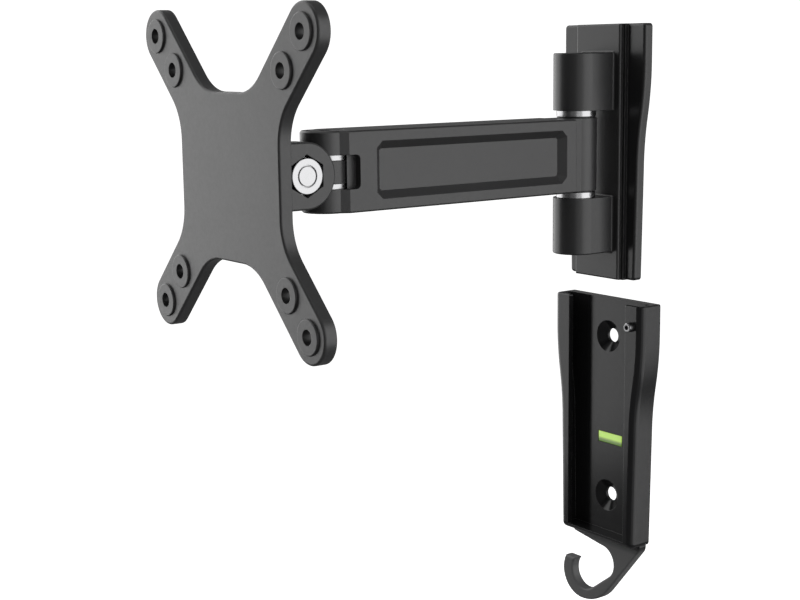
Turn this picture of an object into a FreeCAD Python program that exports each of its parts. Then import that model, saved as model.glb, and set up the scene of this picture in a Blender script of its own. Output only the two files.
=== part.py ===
import FreeCAD, Part
import math
import os

V = FreeCAD.Vector

# Millimetres. X runs right along the wall, Y into the wall, Z up.
# The origin is the middle of the two wall screw holes, on the wall plane.

# Clearances
RUN = 0.05                 # radial gap of every turning fit
SEAT = 0.03                # gap of pieces pressed or clamped together
SLIDE_GAP = 0.3            # gap all round the sliding block
FAR = 400.0                # longer than any piece, for through cuts
OVER = 1.0                 # how far cutters and joined blocks overlap

# Fasteners
NUT_LAND = 0.3             # the turned face of a nut ends this far inside its flats
NUT_CONE = 0.6             # height of the turned corner for each unit of its width
BORE_EDGE = 0.5
HEAD_EDGE = 0.6
SHANK_EDGE = 0.45

# Wall receiver
REC_TOP = 53.0
REC_BOTTOM = -54.5
REC_BACK = 4.2             # back plate thickness
REC_FLOOR = 2.5
REC_WALL = 2.4
REC_EDGE = 3.0             # rounding of the front edges
REC_CORNER = 2.0           # rounding of the bottom corners
RIM_EDGE = 0.8             # rounding of the rim and the lips
LIP_BACK = 9.0             # depth of the lips' inner face from the wall
LIP_FRONT = 11.4
LIP_OPEN = 17.3            # half the width left open between the lips
SCREW_Z = 36.0             # wall screw holes above and below the origin
SCREW_R = 3.1
SCREW_HEAD_R = 7.0
SCREW_SINK = 3.0
VIAL_X = 1.8
VIAL_Z = -9.8
VIAL_LENGTH = 14.6
VIAL_HEIGHT = 4.8
VIAL_DEPTH = 3.8
VIAL_BORE_R = 1.7
VIAL_BORE_LENGTH = 12.8
VIAL_EDGE = 0.4
BUBBLE_LENGTH = 3.6
BUBBLE_R = 1.1
LOCK_X = 20.7
LOCK_Z = 43.8
LOCK_R = 2.0 
LOCK_PROUD = 2.6
LOCK_TIP = 0.05            # how far the tip stands behind the lip
LOCK_SOCKET_AF = 2.0
LOCK_SOCKET_DEPTH = 2.2
LOCK_EDGE = 0.35

# Cable hook, one piece with the back plate
HOOK_X = -16.0             # centre of the round end
HOOK_Z = -76.9
HOOK_R = 12.0
HOOK_BELLY_R = 22.0        # larger round under the hook
HOOK_SLANT = 51.1          # angle of the straight outer side, degrees
HOOK_SIDE = 20.4           # right side, up to the receiver
HOOK_NECK_R = 4.0
HOOK_TIP_Z = -71.0         # flat end of the hook
HOOK_LEFT = -21.0          # left end of the strip under the channel
HOOK_STRIP_Z = -57.6
EYE_LOW_X = -14.0          # the opening: a round low on the left
EYE_LOW_Z = -76.0
EYE_LOW_R = 7.8
EYE_HIGH_X = -3.2          # joined to a round high on the right
EYE_HIGH_Z = -68.0
EYE_HIGH_R = 7.6
HOOK_EDGE = 0.8

# Sliding block
BLOCK_HEIGHT = 107.0
FLANGE_BACK = 4.5
FLANGE_FRONT = 8.7
FLANGE_TOP_W = 24.0        # half widths of the flange
FLANGE_WAIST_W = 20.3
FLANGE_BOTTOM_W = 19.4
BEND_START = 15.5          # below the block's top
BEND_END = 60.0
LEDGE_W = 14.4
LEDGE_FRONT = 10.2
BODY_W = 13.0
BODY_FRONT = 12.0
FLANGE_EDGE = 1.2
FLANGE_CORNER = 1.5
BODY_EDGE = 0.8

# Wall swivel
ARM_Z = 116.5              # middle height of the arm, block lifted out
PIVOT_Y = -24.2
KNUCKLE_R = 9.6
KNUCKLE_IN = 18.2          # from the arm's mid height to the knuckles
KNUCKLE_OUT = 41.8
KNUCKLE_EDGE = 0.7
CAP_EDGE = 0.5
WEB_FOOT = 0.8             # fillet where the knuckles meet the body
PIN_R = 4.0
HEAD_R = 6.5
HEAD_SINK_R = 7.0
SWIVEL_HEAD = 4.6
SWIVEL_NUT = 6.4
SWIVEL_END_GAP = 0.4       # between the bolt's end and the lower cap
CAP_T = 2.0
NUT_AF = 13.0
NUT_POCKET_AF = 13.5
WASHER_R = 8.2
WASHER_IN = 15.75
WASHER_OUT = 18.1
SOCKET_AF = 5.0
SOCKET_DEPTH = 2.4

# Swing arm
ARM_LENGTH = 126.0         # wall swivel axis to head axis
ARM_HALF_H = 15.05
ARM_HALF_T = 11.3
BARREL_R = 8.65
BUSH_R = 5.5
BUSH_LENGTH = 12.0
BUSH_FLANGE_R = 8.0
BUSH_FLANGE_T = 0.5
LUG_R = 9.4
FLAT_START = 3.05          # from the head axis to the arm's flat sides
FLAT_END = 10.2            # from the wall swivel axis to the end face
WEB_W = 7.6
ARM_EDGE = 0.6
FORK_HALF_GAP = 6.3
FORK_ROUND_R = 8.95        # round end of the fork slot, about the head axis
FORK_SIDE_DEPTH = 7.8      # of the hollow that ends the slot in each flank
FORK_SIDE_FLOOR = 8.1      # half the thickness left between the two hollows
FORK_SIDE_CORNER = 1.8
RECESS_T = 2.9
RECESS_START = 15.3
RECESS_END = 110.6
RECESS_HALF_H = 10.8
RECESS_SLOPE = 3.0
RECESS_CORNER = 2.6
RECESS_FLOOR_CORNER = 0.8

# Head
PAN_Y = PIVOT_Y - ARM_LENGTH
TILT_Y = PAN_Y - 18.0
PAN_HEAD = 3.8
PAN_NUT = 6.0
TONGUE_R = 8.35
TONGUE_HALF_H = 4.2
PAN_WASHER_IN = 4.3
PAN_WASHER_OUT = 6.2
EYE_R = 8.6
EYE_W = 5.2
FRICTION_R = 8.4
FRICTION_IN = 5.3
FRICTION_OUT = 6.3
EAR_IN = 6.4
EAR_OUT = 15.3
EAR_R = 12.1
POCKET_FLOOR = 9.0
BOLT_HEAD = 5.3
SPRING_T = 0.8
NUT_FACE = 15.5
NUT_COLLAR_R = 6.45        # round face of the nut
NUT_COLLAR_T = 3.6
NUT_COLLAR_EDGE = 0.3
THREAD_R = 3.6             # reduced end of the bolt
THREAD_GROOVE = 0.6        # depth of the groove round it
THREAD_EDGE = 0.15
EAR_EDGE = 0.6

# Screen plate
BOSS_FACE_Y = TILT_Y - 24.1
PLATE_FRONT_Y = BOSS_FACE_Y + 0.8
PLATE_T = 4.8
VESA_OUTER = 50.0
VESA_INNER = 37.5
VESA_HOLE_R = 2.75
BOSS_R = 6.3
LEG_W = 9.75               # half width of a leg, and the tip radius
WAIST_X = 34.3             # half sizes of the middle
WAIST_Z = 30.0
VALLEY_R = 20.0
PLATE_EDGE = 0.9
BOSS_EDGE = 0.4
RIM = 3.0                  # width of the rim left round the back pockets
POCKET_T = 2.2
BACK_BOSS_R = 6.0
RIB_W = 1.2
PAD_X = 20.0
PAD_Z = 16.0
PAD_T = 2.5
PAD_CORNER = 4.0
PAD_EDGE = 0.8

BLOCK_BOTTOM = ARM_Z - BLOCK_HEIGHT / 2
BLOCK_TOP = ARM_Z + BLOCK_HEIGHT / 2
SEATED_TOP = REC_BOTTOM + REC_FLOOR + SLIDE_GAP + BLOCK_HEIGHT


def box(x0, x1, y0, y1, z0, z1):
    return Part.makeBox(x1 - x0, y1 - y0, z1 - z0, V(x0, y0, z0))


def rod_z(radius, y, z0, z1, x=0.0):
    return Part.makeCylinder(radius, z1 - z0, V(x, y, z0), V(0, 0, 1))


def rod_y(radius, x, z, y0, y1):
    return Part.makeCylinder(radius, y1 - y0, V(x, y0, z), V(0, 1, 0))


def rod_x(radius, x0, x1):
    return Part.makeCylinder(radius, x1 - x0, V(x0, TILT_Y, ARM_Z), V(1, 0, 0))


def ring_z(outer, inner, y, z0, z1):
    return rod_z(outer, y, z0, z1).cut(rod_z(inner, y, z0 - OVER, z1 + OVER))


def hex_prism(across_flats, height):
    corner = across_flats / math.sqrt(3)
    points = []
    for i in range(7):
        angle = math.radians(60 * i)
        points.append(V(corner * math.cos(angle), corner * math.sin(angle), 0))
    return Part.Face(Part.makePolygon(points)).extrude(V(0, 0, height))


def hex_at(across_flats, height, base, direction):
    prism = hex_prism(across_flats, height)
    turn = FreeCAD.Rotation(V(0, 0, 1), direction)
    prism.Placement = FreeCAD.Placement(base, turn)
    return prism


def hex_nut(across_flats, height, bore, base, direction):
    """A nut standing on base, with its outer face's corners turned off."""
    corner = across_flats / math.sqrt(3)
    land = across_flats / 2 - NUT_LAND
    turned = (corner - land) * NUT_CONE
    blank = hex_prism(across_flats, height)
    barrel = Part.makeCylinder(corner, height - turned)
    cone = Part.makeCone(corner, land, turned, V(0, 0, height - turned))
    nut = blank.common(barrel.fuse(cone))
    if bore:
        nut = nut.cut(Part.makeCylinder(bore, height + 2 * OVER, V(0, 0, -OVER)))
        nut = nut.cut(Part.makeCone(bore, bore + BORE_EDGE, BORE_EDGE, V(0, 0, height - BORE_EDGE)))
    nut.Placement = FreeCAD.Placement(base, FreeCAD.Rotation(V(0, 0, 1), direction))
    return nut


def rounded(shape, radius, wanted):
    edges = [edge for edge in shape.Edges if wanted(edge)]
    return shape.makeFillet(radius, edges)


def chamfered(shape, size, wanted):
    edges = [edge for edge in shape.Edges if wanted(edge)]
    return shape.makeChamfer(size, edges)


def on_plane(edge, axis, value):
    box_ = edge.BoundBox
    low = getattr(box_, axis + "Min")
    high = getattr(box_, axis + "Max")
    return abs(low - value) < 1e-4 and abs(high - value) < 1e-4


def bent_side(grow, z_top, z_bottom, z_ref):
    """Edges of one side, top to bottom: straight, an S of two arcs, then a slight taper."""
    drop = FLANGE_TOP_W - FLANGE_WAIST_W
    height = BEND_END - BEND_START
    radius = (height ** 2 + drop ** 2) / (4 * drop)
    half_turn = math.asin(height / 2 / radius) / 2
    sag = radius * (1 - math.cos(half_turn))
    step = radius * math.sin(half_turn)
    wide = FLANGE_TOP_W + grow
    narrow = FLANGE_WAIST_W + grow
    z_start = z_ref - BEND_START
    z_end = z_ref - BEND_END
    taper = (FLANGE_WAIST_W - FLANGE_BOTTOM_W) / (BLOCK_HEIGHT - BEND_END)
    bottom = narrow - taper * (z_end - z_bottom)
    start = V(wide, 0, z_start)
    middle = V((wide + narrow) / 2, 0, (z_start + z_end) / 2)
    end = V(narrow, 0, z_end)
    upper = Part.Arc(start, V(wide - sag, 0, z_start - step), middle)
    lower = Part.Arc(middle, V(narrow + sag, 0, z_end + step), end)
    edges = [Part.LineSegment(V(wide, 0, z_top), start).toShape(), upper.toShape()]
    edges += [lower.toShape(), Part.LineSegment(end, V(bottom, 0, z_bottom)).toShape()]
    return edges, wide, bottom


def bent_slab(grow, z_top, z_bottom, z_ref, near, far):
    """A slab with both sides bent, from depth near to depth far in front of the wall."""
    right, wide, bottom = bent_side(grow, z_top, z_bottom, z_ref)
    left = [edge.mirror(V(0, 0, 0), V(1, 0, 0)) for edge in right]
    top = Part.LineSegment(V(-wide, 0, z_top), V(wide, 0, z_top)).toShape()
    base = Part.LineSegment(V(-bottom, 0, z_bottom), V(bottom, 0, z_bottom)).toShape()
    wire = Part.Wire(Part.__sortEdges__(right + left + [top, base]))
    face = Part.Face(wire)
    face.translate(V(0, -near, 0))
    return face.extrude(V(0, near - far, 0))


def flat_face(points):
    return Part.Face(Part.makePolygon([V(x, 0, z) for x, z in points + points[:1]]))


def hook_outline():
    """Outer outline of the hook: right side, slanting side, belly, round end, strip under the channel."""
    slant = math.radians(HOOK_SLANT)
    inside = REC_BOTTOM + REC_FLOOR / 2
    belly_z = HOOK_Z - HOOK_R + HOOK_BELLY_R
    low = V(HOOK_X, 0, HOOK_Z - HOOK_R)
    turn = V(HOOK_X + HOOK_BELLY_R * math.sin(slant), 0, belly_z - HOOK_BELLY_R * math.cos(slant))
    belly = V(HOOK_X + HOOK_BELLY_R * math.sin(slant / 2), 0, belly_z - HOOK_BELLY_R * math.cos(slant / 2))
    neck = V(HOOK_SIDE, 0, turn.z + (HOOK_SIDE - turn.x) * math.tan(slant))
    tip = V(HOOK_X - math.sqrt(HOOK_R ** 2 - (HOOK_TIP_Z - HOOK_Z) ** 2), 0, HOOK_TIP_Z)
    left = V(HOOK_X - HOOK_R, 0, HOOK_Z)
    corners = [tip, V(HOOK_LEFT, 0, HOOK_STRIP_Z), V(HOOK_LEFT, 0, inside)]
    corners += [V(HOOK_SIDE, 0, inside), neck, turn]
    edges = [Part.LineSegment(a, b).toShape() for a, b in zip(corners, corners[1:])]
    edges.append(Part.Arc(turn, belly, low).toShape())
    edges.append(Part.Arc(low, left, tip).toShape())
    return Part.Face(Part.Wire(Part.__sortEdges__(edges)))


def hook_opening():
    """The hook's eye, two rounds joined, with its mouth to the left."""
    run = V(EYE_HIGH_X - EYE_LOW_X, 0, EYE_HIGH_Z - EYE_LOW_Z)
    side = V(run.z, 0, -run.x).normalize()
    low = V(EYE_LOW_X, 0, EYE_LOW_Z)
    high = V(EYE_HIGH_X, 0, EYE_HIGH_Z)
    between = [low + side * EYE_LOW_R, high + side * EYE_HIGH_R]
    between += [high - side * EYE_HIGH_R, low - side * EYE_LOW_R]
    eye = flat_face([(p.x, p.z) for p in between]).extrude(V(0, -REC_BACK, 0))
    eye = eye.fuse(rod_y(EYE_LOW_R, EYE_LOW_X, EYE_LOW_Z, -REC_BACK, 0))
    eye = eye.fuse(rod_y(EYE_HIGH_R, EYE_HIGH_X, EYE_HIGH_Z, -REC_BACK, 0))
    outside = HOOK_X - 2 * HOOK_R
    mouth = [(outside, HOOK_TIP_Z), (EYE_LOW_X, HOOK_TIP_Z), (EYE_LOW_X, EYE_LOW_Z), (EYE_HIGH_X, EYE_HIGH_Z)]
    mouth += [(EYE_HIGH_X, EYE_HIGH_Z + EYE_HIGH_R), (HOOK_LEFT, HOOK_STRIP_Z), (outside, HOOK_STRIP_Z)]
    return eye.fuse(flat_face(mouth).extrude(V(0, -REC_BACK, 0))).removeSplitter()


def cable_hook():
    """Flat hook under the receiver, in the plane of its back plate."""
    hook = hook_outline().extrude(V(0, -REC_BACK, 0)).cut(hook_opening()).removeSplitter()
    below = REC_BOTTOM
    neck = lambda e: e.BoundBox.YLength > OVER and on_plane(e, "X", HOOK_SIDE) and e.BoundBox.ZMin < below
    hook = rounded(hook, HOOK_NECK_R, neck)
    return rounded(hook, HOOK_EDGE, lambda e: on_plane(e, "Y", -REC_BACK) and e.BoundBox.ZMin < REC_BOTTOM)


def wall_receiver():
    grow = SLIDE_GAP + REC_WALL
    shell = bent_slab(grow, REC_TOP, REC_BOTTOM, SEATED_TOP, 0, LIP_FRONT)
    shell = rounded(shell, REC_CORNER, lambda e: e.BoundBox.YLength > OVER and on_plane(e, "Z", REC_BOTTOM))
    shell = rounded(shell, REC_EDGE, lambda e: on_plane(e, "Y", -LIP_FRONT) and not on_plane(e, "Z", REC_TOP))
    floor = REC_BOTTOM + REC_FLOOR
    above = REC_TOP + 10
    channel = bent_slab(SLIDE_GAP, above, floor, SEATED_TOP, REC_BACK, LIP_BACK)
    mouth = box(-LIP_OPEN, LIP_OPEN, -LIP_FRONT - OVER, -LIP_BACK + RIM_EDGE, floor, above)
    shell = shell.cut(channel.fuse(mouth))
    front_rim = lambda e: on_plane(e, "Z", REC_TOP) and e.BoundBox.YMin < -REC_BACK - OVER
    shell = rounded(shell, RIM_EDGE, front_rim)
    shell = shell.fuse(cable_hook())
    for z in (SCREW_Z, -SCREW_Z):
        shell = shell.cut(rod_y(SCREW_R, 0, z, -REC_BACK - OVER, OVER))
        sink = Part.makeCone(SCREW_HEAD_R, SCREW_R, SCREW_SINK, V(0, -REC_BACK, z), V(0, 1, 0))
        shell = shell.cut(sink)
    half = VIAL_LENGTH / 2 + SEAT
    tall = VIAL_HEIGHT / 2 + SEAT
    window = box(VIAL_X - half, VIAL_X + half, -REC_BACK - OVER, OVER, VIAL_Z - tall, VIAL_Z + tall)
    shell = shell.cut(window)
    shell = shell.cut(rod_y(LOCK_R + RUN, LOCK_X, LOCK_Z, -LIP_FRONT - OVER, -LIP_BACK + OVER))
    return shell.removeSplitter()


def vial_bore(radius, trim):
    half = VIAL_BORE_LENGTH / 2 - trim
    start = V(VIAL_X - half, -REC_BACK + VIAL_DEPTH / 2, VIAL_Z)
    return Part.makeCylinder(radius, 2 * half, start, V(1, 0, 0))


def level_vial():
    half = VIAL_LENGTH / 2
    tall = VIAL_HEIGHT / 2
    back = -REC_BACK + VIAL_DEPTH
    block = box(VIAL_X - half, VIAL_X + half, -REC_BACK, back, VIAL_Z - tall, VIAL_Z + tall)
    block = rounded(block, VIAL_EDGE, lambda e: on_plane(e, "Y", -REC_BACK))
    return block.cut(vial_bore(VIAL_BORE_R, 0))


def vial_liquid():
    """The coloured liquid, less a long bubble floating at the top of the bore."""
    liquid = vial_bore(VIAL_BORE_R - SEAT, SEAT)
    bubble_z = VIAL_Z + VIAL_BORE_R - BUBBLE_R
    start = V(VIAL_X - BUBBLE_LENGTH / 2, -REC_BACK + VIAL_DEPTH / 2, bubble_z)
    bubble = Part.makeCylinder(BUBBLE_R, BUBBLE_LENGTH, start, V(1, 0, 0))
    for end in (0, BUBBLE_LENGTH):
        bubble = bubble.fuse(Part.makeSphere(BUBBLE_R, start + V(end, 0, 0)))
    return liquid.cut(bubble)


def lock_screw():
    front = LIP_FRONT + LOCK_PROUD
    screw = rod_y(LOCK_R, LOCK_X, LOCK_Z, -front, -LIP_BACK - LOCK_TIP)
    screw = chamfered(screw, LOCK_EDGE, lambda e: on_plane(e, "Y", -front))
    socket = hex_at(LOCK_SOCKET_AF, LOCK_SOCKET_DEPTH, V(LOCK_X, -front, LOCK_Z), V(0, 1, 0))
    return screw.cut(socket)


def slide_block():
    flange = bent_slab(0, BLOCK_TOP, BLOCK_BOTTOM, BLOCK_TOP, FLANGE_BACK, FLANGE_FRONT)
    flange = rounded(flange, FLANGE_CORNER, lambda e: e.BoundBox.ZLength < 1e-3 and e.BoundBox.YLength > OVER)
    flange = rounded(flange, FLANGE_EDGE, lambda e: on_plane(e, "Y", -FLANGE_FRONT))
    ledge = box(-LEDGE_W, LEDGE_W, -LEDGE_FRONT, -FLANGE_FRONT + OVER, BLOCK_BOTTOM, BLOCK_TOP)
    body = box(-BODY_W, BODY_W, -BODY_FRONT, -FLANGE_FRONT + OVER, BLOCK_BOTTOM, BLOCK_TOP)
    body = rounded(body, BODY_EDGE, lambda e: on_plane(e, "Y", -BODY_FRONT))
    block = flange.fuse(ledge).fuse(body)
    for low, high in ((KNUCKLE_IN, KNUCKLE_OUT), (-KNUCKLE_OUT, -KNUCKLE_IN)):
        z0 = ARM_Z + low
        z1 = ARM_Z + high
        knuckle = rod_z(KNUCKLE_R, PIVOT_Y, z0, z1)
        web = box(-KNUCKLE_R, KNUCKLE_R, PIVOT_Y, -BODY_FRONT + OVER, z0, z1)
        knuckle = knuckle.fuse(web).removeSplitter()
        outer = z1 if low > 0 else z0
        wanted = lambda e: on_plane(e, "Z", outer) and e.BoundBox.YMin < -BODY_FRONT - OVER
        knuckle = rounded(knuckle, KNUCKLE_EDGE, wanted)
        block = block.fuse(knuckle)
    block = block.removeSplitter()
    inside = BODY_W - OVER
    foot = lambda e: on_plane(e, "Y", -BODY_FRONT) and max(e.BoundBox.XMax, -e.BoundBox.XMin) < inside
    block = rounded(block, WEB_FOOT, foot)
    top = ARM_Z + KNUCKLE_OUT
    bottom = ARM_Z - KNUCKLE_OUT
    head_seat = top - CAP_T - SWIVEL_HEAD - 3 * SEAT
    nut_seat = bottom + CAP_T + SWIVEL_NUT + 3 * SEAT
    block = block.cut(rod_z(PIN_R + SEAT, PIVOT_Y, bottom - OVER, top + OVER))
    block = block.cut(rod_z(HEAD_SINK_R, PIVOT_Y, head_seat, top + OVER))
    block = block.cut(hex_at(NUT_POCKET_AF, nut_seat - bottom, V(0, PIVOT_Y, bottom), V(0, 0, 1)))
    block = block.cut(rod_z(HEAD_SINK_R, PIVOT_Y, bottom - OVER, bottom + CAP_T + SEAT))
    return block.removeSplitter()


def bolt_z(y, head_under, end, head_t):
    """Socket head bolt standing on the vertical axis at depth y, head up."""
    bolt = rod_z(HEAD_R, y, head_under, head_under + head_t)
    bolt = rounded(bolt, HEAD_EDGE, lambda e: on_plane(e, "Z", head_under + head_t))
    shank = rod_z(PIN_R, y, end, head_under + OVER)
    shank = chamfered(shank, SHANK_EDGE, lambda e: on_plane(e, "Z", end))
    bolt = bolt.fuse(shank)
    socket = hex_at(SOCKET_AF, SOCKET_DEPTH + OVER, V(0, y, head_under + head_t - SOCKET_DEPTH), V(0, 0, 1))
    return bolt.cut(socket)


def wall_pivot_bolt():
    head_under = ARM_Z + KNUCKLE_OUT - CAP_T - SWIVEL_HEAD - 2 * SEAT
    return bolt_z(PIVOT_Y, head_under, ARM_Z - KNUCKLE_OUT + CAP_T + SWIVEL_END_GAP, SWIVEL_HEAD)


def wall_pivot_nut():
    seat = ARM_Z - KNUCKLE_OUT + CAP_T + SWIVEL_NUT + 2 * SEAT
    return hex_nut(NUT_AF, SWIVEL_NUT, PIN_R + SEAT, V(0, PIVOT_Y, seat), V(0, 0, -1))


def pivot_cap(outer, inner):
    cap = rod_z(HEAD_SINK_R - SEAT, PIVOT_Y, min(outer, inner), max(outer, inner))
    return rounded(cap, CAP_EDGE, lambda e: on_plane(e, "Z", outer))


def barrel_bushing(side):
    inner = PIN_R + RUN
    edge = ARM_HALF_H + RUN
    tall = ring_z(BUSH_R - SEAT, inner, PIVOT_Y, ARM_HALF_H - BUSH_LENGTH, edge + BUSH_FLANGE_T)
    flange = ring_z(BUSH_FLANGE_R, inner, PIVOT_Y, edge, edge + BUSH_FLANGE_T)
    bush = tall.fuse(flange).removeSplitter()
    if side < 0:
        bush = bush.mirror(V(0, 0, 0), V(0, 0, 1))
    bush.translate(V(0, 0, ARM_Z))
    return bush


def flank_pocket(side):
    """Long recess with sloping walls in one flank of the arm."""
    def ring(sunk):
        inset = RECESS_SLOPE * sunk / RECESS_T
        y0 = PAN_Y + RECESS_START + inset
        y1 = PAN_Y + RECESS_END - inset
        half = RECESS_HALF_H - inset
        cut = RECESS_CORNER + (RECESS_FLOOR_CORNER - RECESS_CORNER) * sunk / RECESS_T
        points = [(y0 + cut, -half), (y1 - cut, -half), (y1, -half + cut), (y1, half - cut)]
        points += [(y1 - cut, half), (y0 + cut, half), (y0, half - cut), (y0, -half + cut)]
        points.append(points[0])
        x = side * (ARM_HALF_T - sunk)
        return Part.makePolygon([V(x, y, ARM_Z + z) for y, z in points])

    return Part.makeLoft([ring(-OVER / 2), ring(RECESS_T)], True, True)


def fork_slot():
    """Open slot for the head knuckle, ending in a round middle and a shallow hollow in each flank."""
    z0 = ARM_Z - FORK_HALF_GAP
    z1 = ARM_Z + FORK_HALF_GAP
    slot = box(-FAR, FAR, PAN_Y - FAR, PAN_Y, z0, z1)
    slot = slot.fuse(rod_z(FORK_ROUND_R, PAN_Y, z0, z1))
    end = PAN_Y + FORK_SIDE_DEPTH
    for side in (-1, 1):
        x0 = min(side * FORK_SIDE_FLOOR, side * FAR)
        x1 = max(side * FORK_SIDE_FLOOR, side * FAR)
        hollow = box(x0, x1, PAN_Y - OVER, end, z0, z1)
        far_edge = lambda e: on_plane(e, "Y", end) and e.BoundBox.XLength > OVER
        hollow = rounded(hollow, FORK_SIDE_CORNER, far_edge)
        slot = slot.fuse(hollow)
    return slot


def swing_arm():
    z0 = ARM_Z - ARM_HALF_H
    z1 = ARM_Z + ARM_HALF_H
    end = PIVOT_Y - FLAT_END
    start = PAN_Y + FLAT_START
    sides = [(-LUG_R, PAN_Y), (-ARM_HALF_T, start), (-ARM_HALF_T, end), (ARM_HALF_T, end)]
    sides += [(ARM_HALF_T, start), (LUG_R, PAN_Y), (-LUG_R, PAN_Y)]
    profile = Part.Face(Part.makePolygon([V(x, y, z0) for x, y in sides]))
    arm = profile.extrude(V(0, 0, z1 - z0))
    arm = arm.fuse(rod_z(LUG_R, PAN_Y, z0, z1))
    arm = arm.removeSplitter()
    arm = chamfered(arm, ARM_EDGE, lambda e: on_plane(e, "Z", z0) or on_plane(e, "Z", z1))
    arm = arm.fuse(box(-WEB_W, WEB_W, end - OVER, PIVOT_Y, z0, z1))
    arm = arm.fuse(rod_z(BARREL_R, PIVOT_Y, z0, z1))
    arm = arm.cut(fork_slot())
    for side in (-1, 1):
        arm = arm.cut(flank_pocket(side))
    arm = arm.cut(rod_z(BUSH_R, PIVOT_Y, z0 - OVER, z1 + OVER))
    arm = arm.cut(rod_z(PIN_R + SEAT, PAN_Y, z0 - OVER, z1 + OVER))
    arm = arm.cut(rod_z(HEAD_SINK_R, PAN_Y, z1 - PAN_HEAD - 2 * SEAT, z1 + OVER))
    arm = arm.cut(hex_at(NUT_POCKET_AF, PAN_NUT + 2 * SEAT, V(0, PAN_Y, z0), V(0, 0, 1)))
    return arm.removeSplitter()


def head_pan_bolt():
    head_under = ARM_Z + ARM_HALF_H - PAN_HEAD - SEAT
    return bolt_z(PAN_Y, head_under, ARM_Z - ARM_HALF_H, PAN_HEAD)


def head_pan_nut():
    seat = ARM_Z - ARM_HALF_H + PAN_NUT + SEAT
    return hex_nut(NUT_AF, PAN_NUT, PIN_R + SEAT, V(0, PAN_Y, seat), V(0, 0, -1))


def head_knuckle():
    z0 = ARM_Z - TONGUE_HALF_H
    z1 = ARM_Z + TONGUE_HALF_H
    knuckle = rod_z(TONGUE_R, PAN_Y, z0, z1)
    knuckle = knuckle.fuse(box(-EYE_W, EYE_W, TILT_Y, PAN_Y, z0, z1))
    knuckle = knuckle.fuse(rod_x(EYE_R, -EYE_W, EYE_W))
    knuckle = knuckle.cut(rod_z(BUSH_R, PAN_Y, z0 - OVER, z1 + OVER))
    knuckle = knuckle.cut(rod_x(PIN_R + RUN, -FAR, FAR))
    return knuckle.removeSplitter()


def tilt_bolt():
    bolt = hex_nut(NUT_AF, BOLT_HEAD, 0, V(-POCKET_FLOOR - SEAT, TILT_Y, ARM_Z), V(-1, 0, 0))
    shank = rod_x(PIN_R, -POCKET_FLOOR - OVER, NUT_FACE - THREAD_GROOVE)
    end = rod_x(THREAD_R, 0, NUT_FACE)
    end = chamfered(end, THREAD_EDGE, lambda e: on_plane(e, "X", NUT_FACE))
    return bolt.fuse(shank).fuse(end).removeSplitter()


def tilt_nut():
    """Nut with a round collar, its face level with the bolt's end."""
    base = POCKET_FLOOR + SPRING_T + 2 * SEAT
    collar_base = NUT_FACE - NUT_COLLAR_T
    nut = hex_at(NUT_AF, collar_base - base, V(base, TILT_Y, ARM_Z), V(1, 0, 0))
    collar = rod_x(NUT_COLLAR_R, collar_base, NUT_FACE)
    collar = rounded(collar, NUT_COLLAR_EDGE, lambda e: on_plane(e, "X", NUT_FACE))
    return nut.fuse(collar).cut(rod_x(PIN_R + SEAT, base - OVER, NUT_FACE + OVER))


def ring_x(outer, inner, x0, x1):
    return rod_x(outer, x0, x1).cut(rod_x(inner, x0 - OVER, x1 + OVER))


def cross_slab(inset, y0, y1):
    """X-shaped slab: a middle with a round-ended leg to each corner, joined by round valleys."""
    half_x = WAIST_X - inset
    half_z = WAIST_Z - inset
    half_leg = LEG_W - inset
    reach = VESA_OUTER * math.sqrt(2)
    slab = box(-half_x, half_x, y0, y1, ARM_Z - half_z, ARM_Z + half_z)
    for turn in (45, 135):
        leg = box(-reach, reach, y0, y1, -half_leg, half_leg)
        leg = leg.fuse(rod_y(half_leg, reach, 0, y0, y1)).fuse(rod_y(half_leg, -reach, 0, y0, y1))
        leg.rotate(V(0, 0, 0), V(0, 1, 0), turn)
        leg.translate(V(0, 0, ARM_Z))
        slab = slab.fuse(leg)
    slab = slab.removeSplitter()

    def in_valley(edge):
        across = [on_plane(edge, "X", side * half_x) for side in (-1, 1)]
        across += [on_plane(edge, "Z", ARM_Z + side * half_z) for side in (-1, 1)]
        return edge.BoundBox.YLength > OVER and any(across)

    return rounded(slab, VALLEY_R + inset, in_valley)


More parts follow.
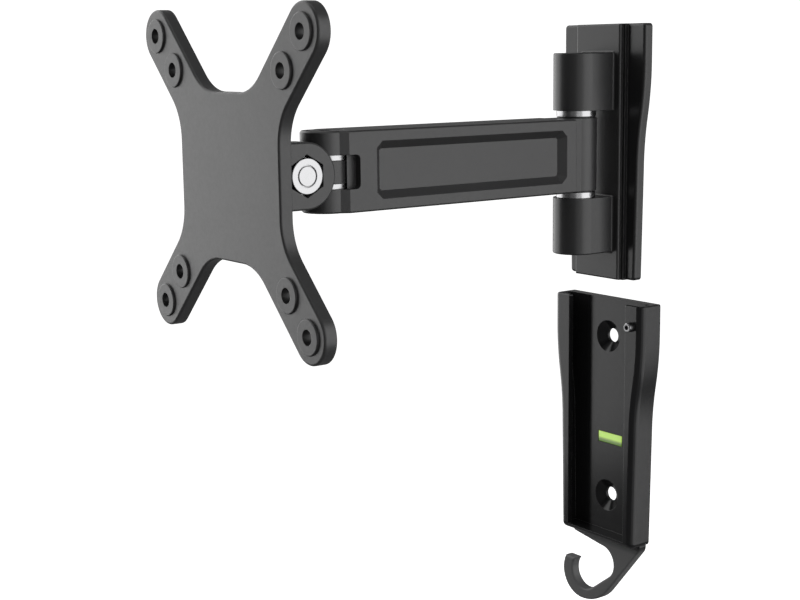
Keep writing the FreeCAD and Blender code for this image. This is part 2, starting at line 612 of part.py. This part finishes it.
def vesa_plate():
    back = PLATE_FRONT_Y + PLATE_T
    plate = cross_slab(0, PLATE_FRONT_Y, back)
    plate = rounded(plate, PLATE_EDGE, lambda e: on_plane(e, "Y", PLATE_FRONT_Y))
    plate = plate.cut(cross_slab(RIM, back - POCKET_T, back + OVER))
    for turn in (45, 135):
        reach = VESA_OUTER * math.sqrt(2)
        rib = box(-reach, reach, back - POCKET_T - OVER / 2, back, -RIB_W, RIB_W)
        rib.rotate(V(0, 0, 0), V(0, 1, 0), turn)
        rib.translate(V(0, 0, ARM_Z))
        plate = plate.fuse(rib)
    pad = box(-PAD_X, PAD_X, back - POCKET_T - OVER / 2, back + PAD_T, ARM_Z - PAD_Z, ARM_Z + PAD_Z)
    pad = rounded(pad, PAD_CORNER, lambda e: e.BoundBox.YLength > OVER)
    plate = plate.fuse(chamfered(pad, PAD_EDGE, lambda e: on_plane(e, "Y", back + PAD_T)))
    for side in (-1, 1):
        x0 = min(side * EAR_IN, side * EAR_OUT)
        x1 = max(side * EAR_IN, side * EAR_OUT)
        ear = rod_x(EAR_R, x0, x1).fuse(box(x0, x1, back - OVER, TILT_Y, ARM_Z - EAR_R, ARM_Z + EAR_R))
        ear = ear.removeSplitter()
        ear = chamfered(ear, EAR_EDGE, lambda e: on_plane(e, "X", side * EAR_OUT) and e.BoundBox.YMax > back)
        plate = plate.fuse(ear)
        pocket = hex_at(NUT_POCKET_AF, FAR, V(side * POCKET_FLOOR, TILT_Y, ARM_Z), V(side, 0, 0))
        plate = plate.cut(pocket)
    plate = plate.cut(rod_x(PIN_R + SEAT, -FAR, FAR))
    for reach in (VESA_INNER, VESA_OUTER):
        for x in (-reach, reach):
            for z in (ARM_Z - reach, ARM_Z + reach):
                boss = rod_y(BOSS_R, x, z, BOSS_FACE_Y, PLATE_FRONT_Y + OVER)
                boss = rounded(boss, BOSS_EDGE, lambda e: on_plane(e, "Y", BOSS_FACE_Y))
                plate = plate.fuse(boss)
                plate = plate.fuse(rod_y(BACK_BOSS_R, x, z, back - POCKET_T - OVER / 2, back))
                plate = plate.cut(rod_y(VESA_HOLE_R, x, z, BOSS_FACE_Y - OVER, back + OVER))
    return plate.removeSplitter()


swivel_top = ARM_Z + KNUCKLE_OUT
swivel_bottom = ARM_Z - KNUCKLE_OUT
steel_bore = PIN_R + SEAT
tongue_bottom = ARM_Z - TONGUE_HALF_H
tongue_top = ARM_Z + TONGUE_HALF_H

nodes = {
    "wall_receiver": wall_receiver(),
    "level_vial": level_vial(),
    "vial_liquid": vial_liquid(),
    "lock_screw": lock_screw(),
    "slide_block": slide_block(),
    "wall_pivot_bolt": wall_pivot_bolt(),
    "wall_pivot_nut": wall_pivot_nut(),
    "upper_pivot_cap": pivot_cap(swivel_top, swivel_top - CAP_T),
    "lower_pivot_cap": pivot_cap(swivel_bottom, swivel_bottom + CAP_T),
    "upper_swivel_washer": ring_z(WASHER_R, steel_bore, PIVOT_Y, ARM_Z + WASHER_IN, ARM_Z + WASHER_OUT),
    "lower_swivel_washer": ring_z(WASHER_R, steel_bore, PIVOT_Y, ARM_Z - WASHER_OUT, ARM_Z - WASHER_IN),
    "upper_barrel_bushing": barrel_bushing(1),
    "lower_barrel_bushing": barrel_bushing(-1),
    "swing_arm": swing_arm(),
    "head_pan_bolt": head_pan_bolt(),
    "head_pan_nut": head_pan_nut(),
    "head_knuckle": head_knuckle(),
    "knuckle_bushing": ring_z(BUSH_R - SEAT, PIN_R + RUN, PAN_Y, tongue_bottom, tongue_top),
    "upper_pan_washer": ring_z(WASHER_R, PIN_R + RUN, PAN_Y, ARM_Z + PAN_WASHER_IN, ARM_Z + PAN_WASHER_OUT),
    "lower_pan_washer": ring_z(WASHER_R, PIN_R + RUN, PAN_Y, ARM_Z - PAN_WASHER_OUT, ARM_Z - PAN_WASHER_IN),
    "left_friction_washer": ring_x(FRICTION_R, steel_bore, -FRICTION_OUT, -FRICTION_IN),
    "right_friction_washer": ring_x(FRICTION_R, steel_bore, FRICTION_IN, FRICTION_OUT),
    "tilt_bolt": tilt_bolt(),
    "tilt_spring_washer": ring_x(NUT_AF / 2, steel_bore, POCKET_FLOOR + SEAT, POCKET_FLOOR + SEAT + SPRING_T),
    "tilt_nut": tilt_nut(),
    "vesa_plate": vesa_plate(),
}

os.makedirs("parts", exist_ok=True)
for name, shape in nodes.items():
    shape.exportStep("parts/" + name + ".step")
    print(name, "valid", shape.isValid(), "solids", len(shape.Solids), "volume", round(shape.Volume, 1))
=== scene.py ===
import math

import bmesh
import bpy
from mathutils import Matrix, Vector


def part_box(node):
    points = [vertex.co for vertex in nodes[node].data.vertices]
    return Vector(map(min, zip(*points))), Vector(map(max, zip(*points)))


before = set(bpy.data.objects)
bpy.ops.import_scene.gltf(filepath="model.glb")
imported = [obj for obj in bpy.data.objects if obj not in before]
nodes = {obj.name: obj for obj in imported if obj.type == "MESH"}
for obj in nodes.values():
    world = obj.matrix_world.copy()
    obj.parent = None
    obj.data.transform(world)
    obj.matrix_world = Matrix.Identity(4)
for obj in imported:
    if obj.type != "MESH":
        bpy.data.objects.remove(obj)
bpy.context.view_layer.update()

# Lengths in metres, angles in degrees, noise scales in cycles per metre.
WAVE_SHARE = 0.25            # long waves in a coat, against its pebble's scale
WAVE_DETAIL = 2.0
WAVE_ROUGHNESS = 0.5
WAVE_STRENGTH = 0.6
PEBBLE_DETAIL = 3.0
PEBBLE_ROUGHNESS = 0.6
PEBBLE_STRENGTH = 0.8
CLOUD_SCALE = 28.0
TWO_ZONE_CLOUD_SCALE = 30.0
CLOUD_DETAIL = 3.0
NOISE_LOW = 0.3              # noise spans this range in practice
NOISE_HIGH = 0.7
SOFT_EDGE = 0.0003
# Painted highlight: sharp edges are lightened in colour to stand in for the thin highlights on
# rounded edges.
EDGE_HIGHLIGHT_FULL = 0.86             # cosine between softened and true normal
EDGE_HIGHLIGHT_NONE = 0.995
EDGE_HIGHLIGHT_COLOUR = (0.06, 0.06, 0.0605)
ROUGHNESS_SWING = 0.015
BEVEL_SAMPLES = 4

LATHE_SCALE = 5200.0
LATHE_DEPTH = 0.000004
LATHE_STRENGTH = 0.7
LATHE_EDGE = 0.00018
SMUDGE_SCALE = 170.0

PLATED_FINE = 6.0
PLATED_DEPTH = 0.000006
PLATED_STRENGTH = 0.6
PLATED_EDGE = 0.0002

ACRYLIC_RIPPLE = 420.0
ACRYLIC_DEPTH = 0.00002
ACRYLIC_STRENGTH = 0.5
ACRYLIC_EDGE = 0.00025
# The vial is painted dark below this share as painted shade and pale above the next as painted light.
ACRYLIC_SHADE_TO = 0.22       # share of the vial's height
ACRYLIC_LIT_FROM = 0.48
ACRYLIC_CLEARNESS = 0.35
ACRYLIC_PAINTED_GLOW = 0.3
ACRYLIC_IOR = 1.49
LIQUID_SWIRL = 260.0
LIQUID_PAINTED_GLOW = 0.5


# ---------------------------------------------------------------- shader helpers

def new_material(name):
    mat = bpy.data.materials.new(name)
    mat.use_nodes = True
    tree = mat.node_tree
    shader = tree.nodes["Principled BSDF"]
    return mat, tree, shader


def object_coords(tree):
    return tree.nodes.new("ShaderNodeTexCoord").outputs["Object"]


def stretched(tree, coords, scale):
    node = tree.nodes.new("ShaderNodeMapping")
    node.inputs["Scale"].default_value = scale
    tree.links.new(coords, node.inputs["Vector"])
    return node.outputs["Vector"]


def noise(tree, coords, scale, detail=4.0, roughness=0.55):
    node = tree.nodes.new("ShaderNodeTexNoise")
    node.inputs["Scale"].default_value = scale
    node.inputs["Detail"].default_value = detail
    node.inputs["Roughness"].default_value = roughness
    tree.links.new(coords, node.inputs["Vector"])
    return node.outputs["Fac"]


def span(tree, value, low, high, start=0.0, end=1.0):
    node = tree.nodes.new("ShaderNodeMapRange")
    node.inputs["From Min"].default_value = start
    node.inputs["From Max"].default_value = end
    node.inputs["To Min"].default_value = low
    node.inputs["To Max"].default_value = high
    tree.links.new(value, node.inputs["Value"])
    return node.outputs["Result"]


def mix_colour(tree, factor, first, second):
    node = tree.nodes.new("ShaderNodeMix")
    node.data_type = "RGBA"
    tree.links.new(factor, node.inputs["Factor"])
    for socket, value in (("A", first), ("B", second)):
        if isinstance(value, tuple):
            node.inputs[socket].default_value = (*value, 1)
        else:
            tree.links.new(value, node.inputs[socket])
    return node.outputs["Result"]


def rounded_normal(tree, radius):
    node = tree.nodes.new("ShaderNodeBevel")
    node.samples = BEVEL_SAMPLES
    node.inputs["Radius"].default_value = radius
    return node.outputs["Normal"]


def bump(tree, height, distance, strength=1.0, under=None):
    node = tree.nodes.new("ShaderNodeBump")
    node.inputs["Distance"].default_value = distance
    node.inputs["Strength"].default_value = strength
    tree.links.new(height, node.inputs["Height"])
    if under is not None:
        tree.links.new(under, node.inputs["Normal"])
    return node.outputs["Normal"]


# ---------------------------------------------------------------- materials

def painted_edge_highlight(tree, soft_normal):
    """1 along sharp edges and 0 elsewhere, where the softened normal leaves the true one: the mask of
    the painted edge highlight.
    """
    geometry = tree.nodes.new("ShaderNodeNewGeometry")
    node = tree.nodes.new("ShaderNodeVectorMath")
    node.operation = "DOT_PRODUCT"
    tree.links.new(geometry.outputs["Normal"], node.inputs[0])
    tree.links.new(soft_normal, node.inputs[1])
    return span(tree, node.outputs["Value"], 1.0, 0.0, EDGE_HIGHLIGHT_FULL, EDGE_HIGHLIGHT_NONE)


def powder_skin(tree, shader, coords, grain, depth, soft, wave):
    """Fine pebbled skin over longer waves."""
    pebble = noise(tree, coords, grain, PEBBLE_DETAIL, PEBBLE_ROUGHNESS)
    skin = bump(tree, wave, depth * 2.0, WAVE_STRENGTH, soft)
    normal = bump(tree, pebble, depth, PEBBLE_STRENGTH, skin)
    tree.links.new(normal, shader.inputs["Normal"])


def long_wave(tree, coords, grain):
    return noise(tree, coords, grain * WAVE_SHARE, WAVE_DETAIL, WAVE_ROUGHNESS)


def coated(name, dark, light, rough, grain, depth, gloss, edge=SOFT_EDGE, edge_highlight_grey=0.035):
    """Powder coat: cloudy colour, fine pebbled skin over longer waves, and a painted highlight that
    lightens the colour on edges.
    """
    mat, tree, shader = new_material(name)
    coords = object_coords(tree)
    cloud = noise(tree, coords, CLOUD_SCALE, CLOUD_DETAIL)
    wave = long_wave(tree, coords, grain)
    soft = rounded_normal(tree, edge)
    base = mix_colour(tree, cloud, dark, light)
    # Painted highlight: the colour is lightened along sharp edges.
    pale = mix_colour(tree, painted_edge_highlight(tree, soft), base, (edge_highlight_grey, edge_highlight_grey, edge_highlight_grey))
    roughness = span(tree, wave, rough[0], rough[1], NOISE_LOW, NOISE_HIGH)
    tree.links.new(pale, shader.inputs["Base Color"])
    tree.links.new(roughness, shader.inputs["Roughness"])
    powder_skin(tree, shader, coords, grain, depth, soft, wave)
    shader.inputs["Specular IOR Level"].default_value = gloss
    return mat


def coat_with_painted_zone(name, axis, edge_at, blend, near, far, grain, depth, gloss):
    """One casting in two zones, near below edge_at along the axis and far above it. The roughness
    differs, and the colour step is painted light and shade: it lightens the receiver's hook and
    darkens the block's flange.

    Each zone is its dark colour, its light colour and its roughness."""
    mat, tree, shader = new_material(name)
    coords = object_coords(tree)
    split = tree.nodes.new("ShaderNodeSeparateXYZ")
    tree.links.new(coords, split.inputs["Vector"])
    zone = span(tree, split.outputs[axis], 0.0, 1.0, edge_at - blend / 2, edge_at + blend / 2)
    cloud = noise(tree, coords, TWO_ZONE_CLOUD_SCALE, CLOUD_DETAIL)
    wave = long_wave(tree, coords, grain)
    soft = rounded_normal(tree, SOFT_EDGE)
    first = mix_colour(tree, cloud, near[0], near[1])
    second = mix_colour(tree, cloud, far[0], far[1])
    base = mix_colour(tree, zone, first, second)
    # Painted highlight: the colour is lightened along sharp edges.
    pale = mix_colour(tree, painted_edge_highlight(tree, soft), base, EDGE_HIGHLIGHT_COLOUR)
    vary = tree.nodes.new("ShaderNodeMath")
    vary.operation = "ADD"
    swing = span(tree, wave, -ROUGHNESS_SWING, ROUGHNESS_SWING, NOISE_LOW, NOISE_HIGH)
    tree.links.new(span(tree, zone, near[2], far[2]), vary.inputs[0])
    tree.links.new(swing, vary.inputs[1])
    tree.links.new(pale, shader.inputs["Base Color"])
    tree.links.new(vary.outputs["Value"], shader.inputs["Roughness"])
    powder_skin(tree, shader, coords, grain, depth, soft, wave)
    shader.inputs["Specular IOR Level"].default_value = gloss
    return mat


def turned_steel(name, dark, light, rough, centre, flat_axis):
    """Bright steel turned on a lathe: fine rings about the axis through centre."""
    mat, tree, shader = new_material(name)
    coords = object_coords(tree)
    shift = tree.nodes.new("ShaderNodeVectorMath")
    shift.operation = "SUBTRACT"
    shift.inputs[1].default_value = centre
    tree.links.new(coords, shift.inputs[0])
    along_only = tuple(float(i == flat_axis) for i in range(3))
    across_only = tuple(1.0 - share for share in along_only)
    across = stretched(tree, shift.outputs["Vector"], across_only)
    along = stretched(tree, shift.outputs["Vector"], along_only)
    length = tree.nodes.new("ShaderNodeVectorMath")
    length.operation = "LENGTH"
    tree.links.new(across, length.inputs[0])
    ring = tree.nodes.new("ShaderNodeCombineXYZ")
    tree.links.new(length.outputs["Value"], ring.inputs["X"])
    total = tree.nodes.new("ShaderNodeVectorMath")
    total.operation = "ADD"
    tree.links.new(ring.outputs["Vector"], total.inputs[0])
    tree.links.new(along, total.inputs[1])
    marks = noise(tree, total.outputs["Vector"], LATHE_SCALE, 2.0)
    smudge = noise(tree, coords, SMUDGE_SCALE, 3.0)
    roughness = span(tree, smudge, rough[0], rough[1], NOISE_LOW, NOISE_HIGH)
    normal = bump(tree, marks, LATHE_DEPTH, LATHE_STRENGTH, rounded_normal(tree, LATHE_EDGE))
    tree.links.new(mix_colour(tree, smudge, dark, light), shader.inputs["Base Color"])
    tree.links.new(roughness, shader.inputs["Roughness"])
    tree.links.new(normal, shader.inputs["Normal"])
    shader.inputs["Metallic"].default_value = 1.0
    return mat


def plated(name, dark, light, rough, grain):
    """Plated or blackened steel with a slightly mottled skin."""
    mat, tree, shader = new_material(name)
    coords = object_coords(tree)
    mottle = noise(tree, coords, grain, 4.0, 0.6)
    fine = noise(tree, coords, grain * PLATED_FINE, 2.0)
    roughness = span(tree, mottle, rough[0], rough[1], NOISE_LOW, NOISE_HIGH)
    normal = bump(tree, fine, PLATED_DEPTH, PLATED_STRENGTH, rounded_normal(tree, PLATED_EDGE))
    tree.links.new(mix_colour(tree, mottle, dark, light), shader.inputs["Base Color"])
    tree.links.new(roughness, shader.inputs["Roughness"])
    tree.links.new(normal, shader.inputs["Normal"])
    shader.inputs["Metallic"].default_value = 1.0
    return mat


def height_share(tree, coords, node_name):
    """0 at the foot of a node and 1 at its top."""
    low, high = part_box(node_name)
    split = tree.nodes.new("ShaderNodeSeparateXYZ")
    tree.links.new(coords, split.inputs["Vector"])
    return span(tree, split.outputs["Z"], 0.0, 1.0, low[2], high[2])


def clear_acrylic(name, node_name, low, high):
    """Cast acrylic block, tinted by the liquid in it, painted darker towards the foot as painted
    shade and paler towards the top as painted light.
    """
    mat, tree, shader = new_material(name)
    coords = object_coords(tree)
    ripple = noise(tree, coords, ACRYLIC_RIPPLE, 2.0)
    height = height_share(tree, coords, node_name)
    # Painted shade at the foot and painted light at the top of the vial.
    share = span(tree, height, 0.0, 1.0, ACRYLIC_SHADE_TO, ACRYLIC_LIT_FROM)
    tree.links.new(mix_colour(tree, share, low, high), shader.inputs["Base Color"])
    # Painted glow: the acrylic emits its own colours, painted shade and painted light included.
    tree.links.new(mix_colour(tree, share, low, high), shader.inputs["Emission Color"])
    tree.links.new(span(tree, ripple, 0.05, 0.14), shader.inputs["Roughness"])
    soft = rounded_normal(tree, ACRYLIC_EDGE)
    normal = bump(tree, ripple, ACRYLIC_DEPTH, ACRYLIC_STRENGTH, soft)
    tree.links.new(normal, shader.inputs["Normal"])
    shader.inputs["Transmission Weight"].default_value = ACRYLIC_CLEARNESS
    shader.inputs["Emission Strength"].default_value = ACRYLIC_PAINTED_GLOW
    shader.inputs["IOR"].default_value = ACRYLIC_IOR
    return mat


def liquid(name, low, high):
    """Tinted liquid with a faint painted glow, emitting its own colour to stand in for the light on
    it.
    """
    mat, tree, shader = new_material(name)
    coords = object_coords(tree)
    swirl = noise(tree, coords, LIQUID_SWIRL, 2.0)
    colour = mix_colour(tree, swirl, low, high)
    tree.links.new(colour, shader.inputs["Base Color"])
    # Painted glow: the liquid emits its own colour.
    tree.links.new(colour, shader.inputs["Emission Color"])
    tree.links.new(span(tree, swirl, 0.08, 0.16), shader.inputs["Roughness"])
    shader.inputs["Emission Strength"].default_value = LIQUID_PAINTED_GLOW
    return mat


def node_centre(node_name):
    low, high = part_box(node_name)
    return tuple((a + b) / 2 for a, b in zip(low, high))


# Dark colour, light colour and roughness of the turned steel.
BRIGHT = ((0.31, 0.31, 0.315), (0.4, 0.4, 0.405), (0.22, 0.3))

MATERIALS = {
    # Receiver: the hook below edge_at is painted lighter as painted light; the rest keeps the glossy
    # black colour.
    "receiver": coat_with_painted_zone("receiver_coat", "Z", -0.0575, 0.004,
                              ((0.085, 0.085, 0.0855), (0.1, 0.1, 0.1005), 0.46),
                              ((0.007, 0.007, 0.0075), (0.012, 0.012, 0.0125), 0.17),
                              1900.0, 0.0000012, 0.26),
    # Block: the flange towards the wall is painted darker as painted shade; the body and knuckles
    # keep the lighter colour.
    "block": coat_with_painted_zone("block_coat", "Y", -0.0106, 0.0004,
                           ((0.016, 0.016, 0.0165), (0.022, 0.022, 0.0225), 0.33),
                           ((0.009, 0.009, 0.0095), (0.013, 0.013, 0.0135), 0.29),
                           2400.0, 0.0000016, 0.4),
    "knuckle": coated("knuckle_coat", (0.012, 0.012, 0.0125), (0.018, 0.018, 0.0185),
                      (0.27, 0.31), 2400.0, 0.000003, 0.45),
    "arm": coated("arm_coat", (0.016, 0.016, 0.0165), (0.023, 0.023, 0.0235),
                  (0.38, 0.43), 3000.0, 0.000006, 0.5),
    "plate": coated("plate_coat", (0.017, 0.017, 0.0175), (0.025, 0.025, 0.0255),
                    (0.38, 0.43), 3000.0, 0.000007, 0.5),
    "swivel_steel": turned_steel("swivel_steel", *BRIGHT, node_centre("upper_swivel_washer"), 2),
    "pan_steel": turned_steel("pan_steel", *BRIGHT, node_centre("upper_pan_washer"), 2),
    "tilt_steel": turned_steel("tilt_steel", *BRIGHT, node_centre("tilt_nut"), 0),
    "zinc": plated("zinc_steel", (0.2, 0.2, 0.205), (0.3, 0.3, 0.305), (0.26, 0.36), 500.0),
    "oxide": plated("black_oxide", (0.04, 0.04, 0.041), (0.07, 0.07, 0.072), (0.3, 0.42), 500.0),
    "nylon": coated("nylon", (0.012, 0.012, 0.0125), (0.02, 0.02, 0.0205),
                    (0.4, 0.52), 1800.0, 0.000006, 0.4),
    "fibre": coated("fibre", (0.14, 0.11, 0.08), (0.22, 0.18, 0.14),
                    (0.75, 0.9), 1400.0, 0.00002, 0.3),
    # Vial: the dark colour is painted shade at its foot, the pale colour painted light at its top.
    "acrylic": clear_acrylic("clear_acrylic", "level_vial", (0.1, 0.2, 0.01), (0.50, 0.70, 0.14)),
    "liquid": liquid("level_liquid", (0.5, 0.78, 0.06), (0.62, 0.9, 0.14)),
}

FINISH = {
    "wall_receiver": "receiver",
    "level_vial": "acrylic",
    "vial_liquid": "liquid",
    "lock_screw": "zinc",
    "slide_block": "block",
    "wall_pivot_bolt": "oxide",
    "wall_pivot_nut": "zinc",
    "upper_pivot_cap": "nylon",
    "lower_pivot_cap": "nylon",
    "upper_swivel_washer": "swivel_steel",
    "lower_swivel_washer": "swivel_steel",
    "upper_barrel_bushing": "nylon",
    "lower_barrel_bushing": "nylon",
    "swing_arm": "arm",
    "head_pan_bolt": "oxide",
    "head_pan_nut": "zinc",
    "head_knuckle": "knuckle",
    "knuckle_bushing": "nylon",
    "upper_pan_washer": "pan_steel",
    "lower_pan_washer": "pan_steel",
    "left_friction_washer": "fibre",
    "right_friction_washer": "fibre",
    "tilt_bolt": "tilt_steel",
    "tilt_spring_washer": "tilt_steel",
    "tilt_nut": "tilt_steel",
    "vesa_plate": "plate",
}

for node_name, finish in FINISH.items():
    mesh = nodes[node_name].data
    mesh.materials.clear()
    mesh.materials.append(MATERIALS[finish])


# ---------------------------------------------------------------- stage, light and camera

FLOOR_Z = -0.75
STAGE_REACH = 9.0
STAGE_GLOW = 0.95
CAMERA_AT = (0.45183, -0.44951, 0.1592)
CAMERA_AZIMUTH = math.radians(53.645)
CAMERA_ELEVATION = math.radians(9.583)
CAMERA_ROLL = math.radians(-0.762)
CAMERA_LENS = 65.85
SENSOR_WIDTH = 36.0
NEAR_CLIP = 0.01
WORLD_LIGHT = 0.2
OBJECT_MIDDLE = (0.0, -0.09, 0.06)


def paper():
    """White seamless paper that glows, so that it reads as white."""
    mat, tree, shader = new_material("paper")
    fleck = noise(tree, object_coords(tree), 3.0, 2.0)
    colour = mix_colour(tree, fleck, (0.97, 0.97, 0.97), (1.0, 1.0, 1.0))
    tree.links.new(colour, shader.inputs["Base Color"])
    tree.links.new(colour, shader.inputs["Emission Color"])
    tree.links.new(span(tree, fleck, 0.85, 0.95), shader.inputs["Roughness"])
    shader.inputs["Emission Strength"].default_value = STAGE_GLOW
    shader.inputs["Specular IOR Level"].default_value = 0.0
    return mat


def backdrop():
    """Pale floor under a pale dome. The object neither mirrors it nor is lit by it."""
    mat = paper()
    bm = bmesh.new()
    bmesh.ops.create_grid(bm, x_segments=2, y_segments=2, size=STAGE_REACH)
    floor_mesh = bpy.data.meshes.new("floor")
    bm.to_mesh(floor_mesh)
    bm.free()
    bm = bmesh.new()
    bmesh.ops.create_uvsphere(bm, u_segments=48, v_segments=24, radius=STAGE_REACH)
    under = [v for v in bm.verts if v.co.z < -0.01]
    bmesh.ops.delete(bm, geom=under, context="VERTS")
    bmesh.ops.reverse_faces(bm, faces=bm.faces)
    dome_mesh = bpy.data.meshes.new("dome")
    bm.to_mesh(dome_mesh)
    bm.free()
    for name, mesh in (("floor", floor_mesh), ("dome", dome_mesh)):
        mesh.materials.append(mat)
        piece = bpy.data.objects.new(name, mesh)
        piece.location = (0, 0, FLOOR_Z)
        piece.visible_glossy = False
        piece.visible_diffuse = False
        piece.visible_shadow = False
        bpy.context.scene.collection.objects.link(piece)


def soft_box(name, azimuth, elevation, distance, size, radiance):
    """Rectangular soft light of the given radiance, looking at the object."""
    light = bpy.data.lights.new(name, "AREA")
    light.shape = "RECTANGLE"
    light.size, light.size_y = size
    light.energy = radiance * math.pi * size[0] * size[1]
    lamp = bpy.data.objects.new(name, light)
    turn = math.radians(azimuth)
    rise = math.radians(elevation)
    level = Vector((math.cos(turn), math.sin(turn), 0))
    aim = math.cos(rise) * level + math.sin(rise) * Vector((0, 0, 1))
    lamp.location = Vector(OBJECT_MIDDLE) + distance * aim
    lamp.rotation_euler = aim.to_track_quat("Z", "Y").to_euler()
    lamp.visible_camera = False
    bpy.context.scene.collection.objects.link(lamp)


def studio():
    world = bpy.data.worlds.new("studio")
    world.use_nodes = True
    background = world.node_tree.nodes["Background"]
    background.inputs["Color"].default_value = (1, 1, 1, 1)
    background.inputs["Strength"].default_value = WORLD_LIGHT
    bpy.context.scene.world = world
    soft_box("key_left", 196, 14, 1.6, (2.1, 2.2), 2.3)
    soft_box("fill_right", 22, 8, 1.6, (1.8, 2.2), 2.2)
    soft_box("front_right", -24, 6, 1.6, (0.8, 2.0), 0.7)
    soft_box("top", 250, 78, 1.8, (1.2, 1.2), 1.0)
    bpy.context.scene.view_settings.view_transform = "Standard"


def photo_camera():
    back = Vector((math.sin(CAMERA_AZIMUTH) * math.cos(CAMERA_ELEVATION),
                   -math.cos(CAMERA_AZIMUTH) * math.cos(CAMERA_ELEVATION),
                   math.sin(CAMERA_ELEVATION)))
    level = Vector((math.cos(CAMERA_AZIMUTH), math.sin(CAMERA_AZIMUTH), 0))
    upright = back.cross(level)
    right = math.cos(CAMERA_ROLL) * level + math.sin(CAMERA_ROLL) * upright
    up = math.cos(CAMERA_ROLL) * upright - math.sin(CAMERA_ROLL) * level
    turn = Matrix((right, up, back)).transposed().to_4x4()
    data = bpy.data.cameras.new("photo_camera")
    data.sensor_width = SENSOR_WIDTH
    data.lens = CAMERA_LENS
    data.clip_start = NEAR_CLIP
    camera = bpy.data.objects.new("photo_camera", data)
    camera.matrix_world = Matrix.Translation(CAMERA_AT) @ turn
    bpy.context.scene.collection.objects.link(camera)
    bpy.context.scene.camera = camera


backdrop()
studio()
photo_camera()
